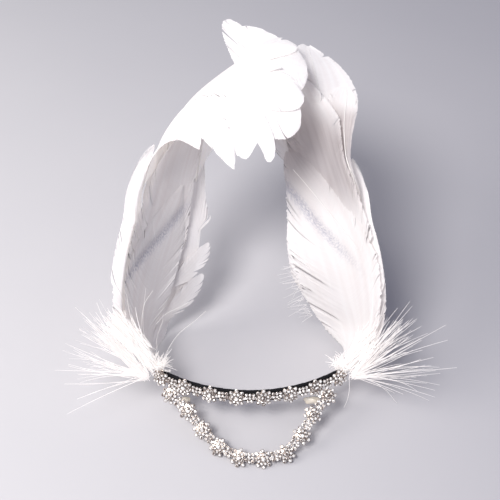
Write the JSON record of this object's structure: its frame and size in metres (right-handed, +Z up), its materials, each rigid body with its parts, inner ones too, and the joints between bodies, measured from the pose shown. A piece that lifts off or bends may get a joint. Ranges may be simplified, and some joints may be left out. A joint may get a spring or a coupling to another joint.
{
  "type": "ballet feather headpiece",
  "caption": "White feather wings arching over the head from a black forehead band trimmed with rhinestone flowers, with a hanging rhinestone swag and spiky side plumes.",
  "frame": {"origin": "on the table, under the middle of the headpiece's box", "axes": "+Z up from the table, -Y toward the forehead band and its swag, +X toward the wing on the right of the picture"},
  "size_m": [0.2356, 0.2392, 0.1527],
  "materials": {
    "feather": "soft white goose feather",
    "ribbon": "black woven ribbon",
    "stones": "clear cut stones in silver cups",
    "glue": "dried cream glue"
  },
  "bodies": {
    "root": {"head_band": "ribbon", "band_trim": "stones", "swag_trim": "stones", "left_lower_front_feather": "feather", "left_lower_back_feather": "feather", "left_middle_front_feather": "feather", "left_middle_centre_feather": "feather", "left_middle_back_feather": "feather", "left_trailing_low_feather": "feather", "left_inner_lower_feather": "feather", "left_inner_upper_feather": "feather", "left_trailing_high_feather": "feather", "left_crown_first_feather": "feather", "left_crown_second_feather": "feather", "left_crown_third_feather": "feather", "left_crown_fourth_feather": "feather", "left_crown_fifth_feather": "feather", "left_under_front_feather": "feather", "left_under_back_feather": "feather", "left_plume": "feather", "left_glue_pad": "glue", "right_lower_front_feather": "feather", "right_lower_back_feather": "feather", "right_middle_front_feather": "feather", "right_middle_centre_feather": "feather", "right_middle_back_feather": "feather", "right_trailing_low_feather": "feather", "right_inner_lower_feather": "feather", "right_inner_upper_feather": "feather", "right_crown_first_feather": "feather", "right_crown_second_feather": "feather", "right_crown_third_feather": "feather", "right_crown_fourth_feather": "feather", "right_plume": "feather", "right_glue_pad": "glue"}
  },
  "joints": []
}
